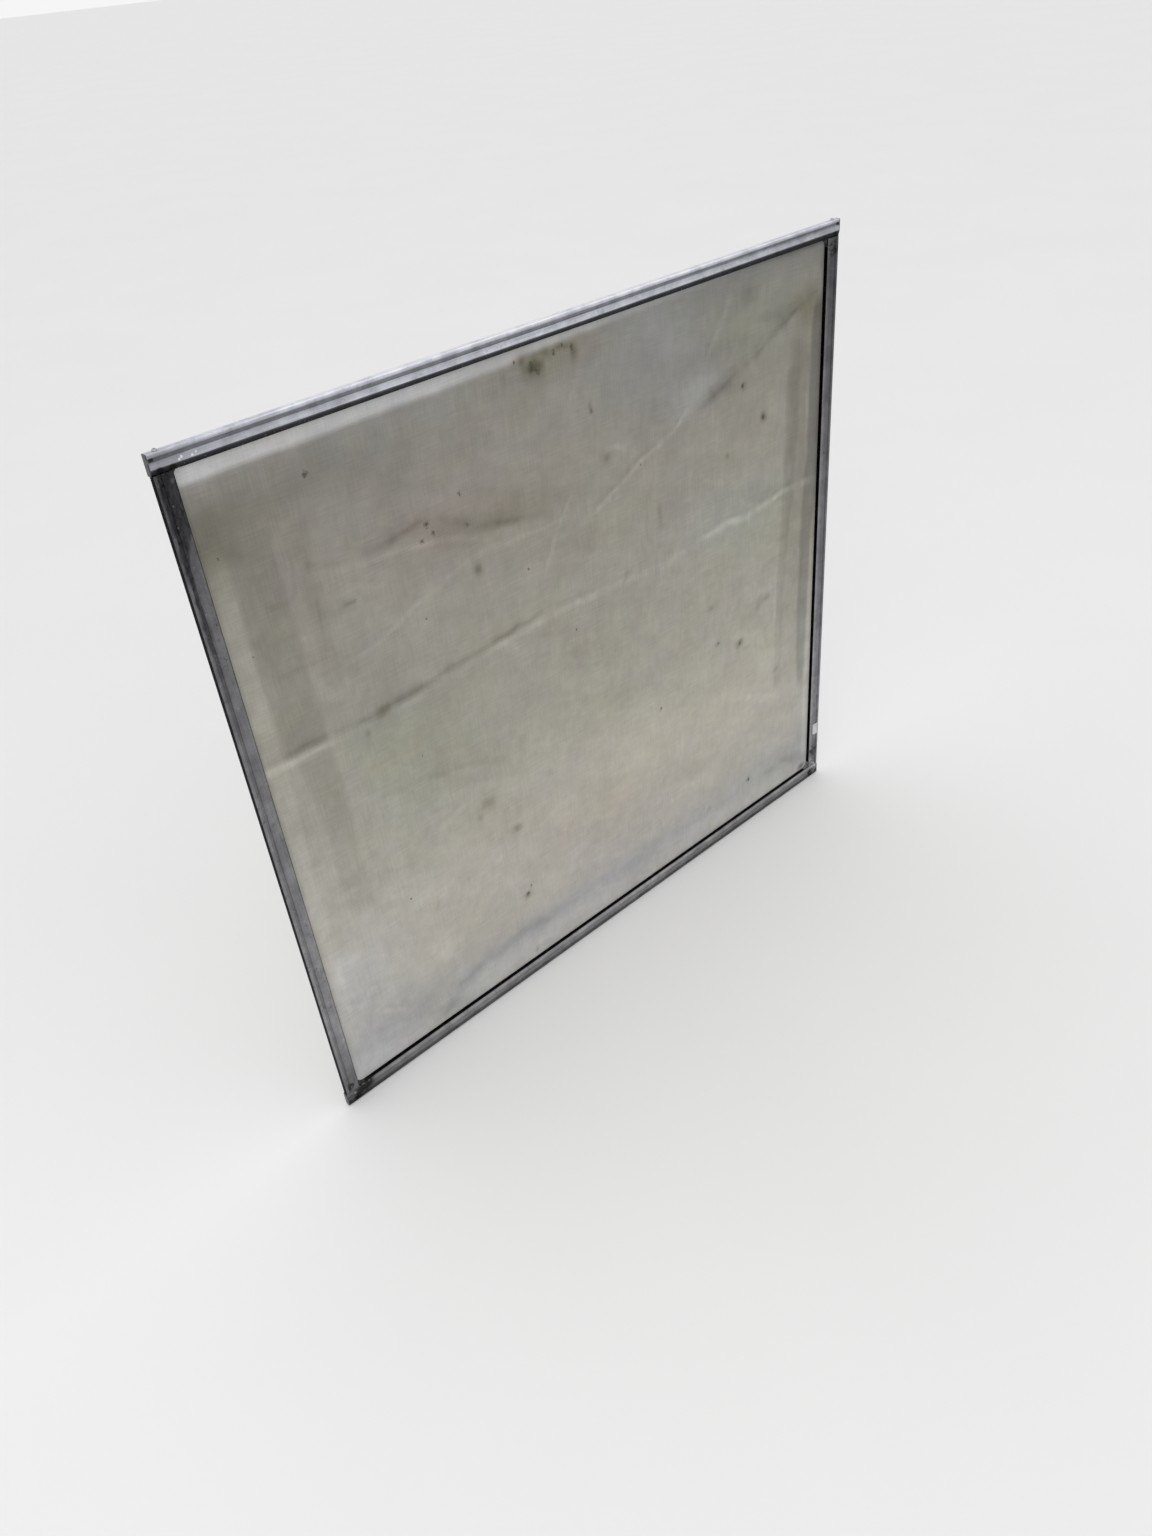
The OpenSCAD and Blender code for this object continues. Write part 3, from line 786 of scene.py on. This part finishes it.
def paint_glued_margin(c):
    """Glue that has soaked through the mesh where it lies on the rails' backs."""
    inside = c.inside()
    starts, ends = 4, 22.5           # mm outwards from the opening
    soaked = np.clip(-(inside + starts + 1.5 * c.noise(14, 14, 31)) / 2.5, 0, 1)
    tone = 128 + 14 * c.noise(24, 24, 32) + 9 * c.noise(8, 8, 33)
    c.tone += (tone - c.tone) * soaked * 0.85
    c.warm += (30 + 6 * c.noise(30, 30, 34) - c.warm) * soaked
    edge = np.clip((inside + ends) / 1.2, 0, 1)
    c.tone += 34 * (1 - edge) * soaked


# Small dark specks: (x, z, radius) in mm
SPECKS = [
    (-393, 437, 7), (-186, 341, 6), (-243, 320, 7), (-236, 305, 6), (-254, 300, 6), (-181, 297, 5),
    (-90, 196, 3.5), (-521, 381, 3), (-513, 251, 2.5), (-268, 195, 3), (136, 273, 4), (-14, 66, 4.5),
    (-315, -2, 3), (-382, -226, 3.5), (-47, 463, 11), (-38, 456, 8), (-8, 472, 6), (24, 471, 6),
    (8, 477, 5), (-74, 477, 4), (360, 324, 7), (409, 260, 8), (352, -125, 6), (297, -100, 4),
    (153, -160, 4), (-171, -359, 7), (-163, -346, 4), (374, -436, 5), (49, 378, 5),
]


def raise_folds(c):
    """Slow waves and slack; flat where the mesh is glued to the rails."""
    c.lift += 0.45 * c.noise(210, 260, 41) + 0.2 * c.noise(90, 110, 42)
    c.lift *= np.clip((c.inside() - 6) / 30, 0, 1)


def tone_mesh(c):
    """Linear red, green and blue of every grid point, as reflectance in this scene's light."""
    shown = np.stack([c.tone, c.tone - c.warm / 4 + c.green, c.tone - c.warm], axis=-1)
    shown = np.clip(shown, 12, 245) / 255
    return ((shown + 0.055) / 1.055) ** 2.4 / MESH_LIGHT


def grid_faces(rows, columns):
    """The four corners of every cell of a grid of points, counted row by row."""
    first = (np.arange(rows - 1)[:, None] * columns + np.arange(columns - 1)).ravel()
    return np.stack([first, first + 1, first + columns + 1, first + columns], axis=1)


def mesh_cloth():
    """The screen's mesh: one sheet, glued over the backs of the rails."""
    c = Cloth(MESH[0], MESH[1])
    for step in (paint_ground, paint_tints, paint_bands, paint_edges, paint_creases, paint_short_folds,
                 paint_wear, paint_stains, paint_glued_margin, raise_folds):
        step(c)
    points = np.stack([
        c.at_x.ravel() * MM + MIDDLE.x,
        c.lift.ravel() * MM + MESH_Y,
        c.at_z.ravel() * MM + MIDDLE.z,
    ], axis=1)
    data = bpy.data.meshes.new("mesh_cloth")
    data.from_pydata(points.tolist(), [], grid_faces(*c.x.shape).tolist())
    data.shade_smooth()
    # The colour layer soil holds the mesh's stains together with its painted light and shade
    colour = data.color_attributes.new("soil", "FLOAT_COLOR", "POINT")
    values = np.concatenate([tone_mesh(c).reshape(-1, 3), np.ones((len(points), 1))], axis=1)
    colour.data.foreach_set("color", values.astype(np.float32).ravel())
    data.materials.append(polyester())
    return place_object("mesh_cloth", data)


def add_speck(s, colour, x, z, radius):
    """A small ragged dark speck on the mesh; x, z and radius are in mm."""
    at_x, at_z = (x - MARK_SHIFT[0]) / MARK_SCALE, (z - MARK_SHIFT[1]) / MARK_SCALE
    tall = 1.3
    near_x = s.math("DIVIDE", s.math("SUBTRACT", s.x, MIDDLE.x + at_x * MM), radius * MM)
    near_z = s.math("DIVIDE", s.math("SUBTRACT", s.z, MIDDLE.z + at_z * MM), radius * MM * tall)
    far = s.math("SQRT", s.math("ADD", s.math("POWER", near_x, 2.0), s.math("POWER", near_z, 2.0)))
    ragged = s.noise(radius * MM * 0.8, detail=5.0, roughness=0.7, shift=x * 0.01)
    dark = s.fade(s.math("ADD", far, s.math("MULTIPLY", ragged, 2.4)), 1.25, 1.85, 1.0, 0.0)
    return s.mix(s.math("MULTIPLY", dark, 0.72), colour, linear(56, 54, 50))


def polyester():
    """Soiled polyester mesh: the painted soil with painted light and shade, cloudy washing-out, woven
    threads and specks.
    """
    s = Shader("fabric_mesh", roughness=0.7, Specular_IOR_Level=0.25, Sheen_Weight=0.05)
    # soil is the mesh's stains together with its painted light and shade
    colour = s.add("ShaderNodeAttribute", attribute_name="soil").outputs["Color"]
    clouds = s.noise(0.045, detail=7.0, roughness=0.62)
    colour = s.dim(colour, s.fade(clouds, 0.3, 0.7, 0.955, 1.045))
    blotch = s.noise(0.014, detail=6.0, roughness=0.7, shift=5.0)
    colour = s.dim(colour, s.fade(blotch, 0.3, 0.7, 0.955, 1.04))
    weft = s.noise((0.05, 0.05, 0.0011), detail=2.0)
    warp = s.noise((0.0011, 0.05, 0.05), detail=2.0, shift=2.0)
    threads = s.math("ADD", weft, warp)
    colour = s.dim(colour, s.fade(threads, 0.7, 1.3, 0.925, 1.075))
    for x, z, radius in SPECKS:
        colour = add_speck(s, colour, x, z, radius)
    normal = s.bump(threads, 0.00006, 0.5)
    normal = s.bump(blotch, 0.0004, 0.2, under=normal)
    material = s.finish(colour, s.fade(blotch, 0.3, 0.7, 0.62, 0.8), normal)
    through = s.add("ShaderNodeBsdfTranslucent", {"Color": colour, "Normal": normal}).outputs[0]
    both = s.add("ShaderNodeMixShader", {0: 0.25, 1: s.base.outputs[0], 2: through}).outputs[0]
    s.tree.links.new(both, s.tree.nodes["Material Output"].inputs["Surface"])
    return material


AROUND = 24                     # cells of a bead's face round its arc
ACROSS = 8                      # and from its edge on the mesh to the rails


def bead_face(low, high, side_x, side_z):
    """Points of a bead's front, in rings from its rounded edge on the mesh to the corner of the two
    rails. side_x and side_z say which way that corner lies."""
    reach, height = high.x - low.x, high.y - low.y
    tip_x = high.x if side_x > 0 else low.x
    tip_z = high.z if side_z > 0 else low.z
    points = []
    for i in range(AROUND + 1):
        turn = math.pi / 2 * i / AROUND
        arc = (reach * (1 - math.sin(turn)), reach * (1 - math.cos(turn)))
        wall = (max(0.0, 1 - 2 * i / AROUND) * reach, max(0.0, 2 * i / AROUND - 1) * reach)
        ripple = 0.07 * math.sin(5.3 * turn + 0.31 * i + side_x) * math.sin(2 * turn)
        for j in range(ACROSS + 1):
            t = j / ACROSS
            x = arc[0] + (wall[0] - arc[0]) * t
            z = arc[1] + (wall[1] - arc[1]) * t
            rise = height * min(1.0, (0.10 + 0.90 * t ** 1.6) * (1 + ripple))
            points.append((tip_x - side_x * x, high.y - rise, tip_z - side_z * z))
    return points


def sealant_bead(corner):
    """A hand-smoothed fillet of sealant: its edge on the mesh is a rounded arc, and it climbs into the
    corner of the two rails."""
    low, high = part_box(f"corner_sealant_{corner}")
    side_x = 1 if corner.endswith("r") else -1
    side_z = 1 if corner.startswith("t") else -1
    front = bead_face(low, high, side_x, side_z)
    back = [(x, high.y, z) for x, y, z in front]
    base = len(front)
    wide = ACROSS + 1
    faces = [tuple(face) for face in grid_faces(AROUND + 1, wide).tolist()]
    faces += [tuple(base + k for k in reversed(face)) for face in faces]
    rim = [i * wide for i in range(AROUND + 1)]
    rim += [AROUND * wide + j for j in range(1, wide)]
    rim += [i * wide + ACROSS for i in range(AROUND - 1, -1, -1)]
    rim += [j for j in range(ACROSS - 1, 0, -1)]
    faces += [(b, a, base + a, base + b) for a, b in zip(rim, rim[1:] + rim[:1])]
    data = bpy.data.meshes.new(f"bead_{corner}")
    data.from_pydata(front + back, [], faces)
    data.validate()
    data.shade_smooth()
    data.materials.append(DUSTY_RUBBER if corner == "br" else RUBBER)
    return place_object(f"bead_{corner}", data)


RUBBER = sealant_rubber()
DUSTY_RUBBER = sealant_rubber("rubber_sealant_dusty", 88, 132)
cloth = mesh_cloth()
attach(cloth, "root")
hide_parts("screen_mesh")
for corner in CORNERS:
    bead = sealant_bead(corner)
    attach(bead, "root")
    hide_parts(f"corner_sealant_{corner}")


# ---------------------------------------------------------------- floor, light and camera

def studio_floor():
    """A very large pale disc, so that its far edge lies at the horizon."""
    radius, sides = 60.0, 96
    turns = [2 * math.pi * k / sides for k in range(sides)]
    verts = [(radius * math.cos(turn), radius * math.sin(turn), FLOOR_Z) for turn in turns]
    data = bpy.data.meshes.new("floor")
    data.from_pydata(verts, [], [tuple(range(sides))])
    s = Shader("studio_floor", roughness=0.9, Specular_IOR_Level=0.1)
    tone = s.fade(s.noise(0.6, detail=3.0), 0.3, 0.7, 0.845, 0.855)
    data.materials.append(s.finish(s.dim((1.0, 1.0, 1.0), tone)))
    return place_object("floor", data)


def studio_light():
    """An even pale surround, and one large soft lamp in front, above and to the left."""
    world = bpy.data.worlds.new("studio")
    bpy.context.scene.world = world
    world.use_nodes = True
    surround = world.node_tree.nodes["Background"]
    surround.inputs["Color"].default_value = (1.0, 1.0, 1.0, 1.0)
    surround.inputs["Strength"].default_value = 0.92
    lamp = bpy.data.lights.new("softbox", "AREA")
    lamp.shape = "DISK"
    lamp.size = 3.0
    lamp.energy = 40.0
    softbox = place_object("softbox", lamp)
    softbox.location = (-2.6, -3.0, 3.6)
    softbox.rotation_euler = (MIDDLE - softbox.location).to_track_quat("-Z", "Y").to_euler()


def photographer():
    """The camera: above and to the left, looking down and a little rolled."""
    place = (-0.9937, -1.1696, 1.4474)
    heading, pitch, roll = math.radians(-38.895), math.radians(-36.015), math.radians(-6.13)
    data = bpy.data.cameras.new("camera")
    data.sensor_width = 36.0
    data.lens = 27.41
    data.clip_end = 200.0
    camera = place_object("camera", data)
    aim = Euler((math.pi / 2 + pitch, 0.0, heading)).to_matrix() @ Matrix.Rotation(roll, 3, "Z")
    camera.matrix_world = Matrix.Translation(place) @ aim.to_4x4()
    bpy.context.scene.camera = camera


studio_floor()
studio_light()
photographer()
bpy.context.scene.view_settings.view_transform = "Standard"
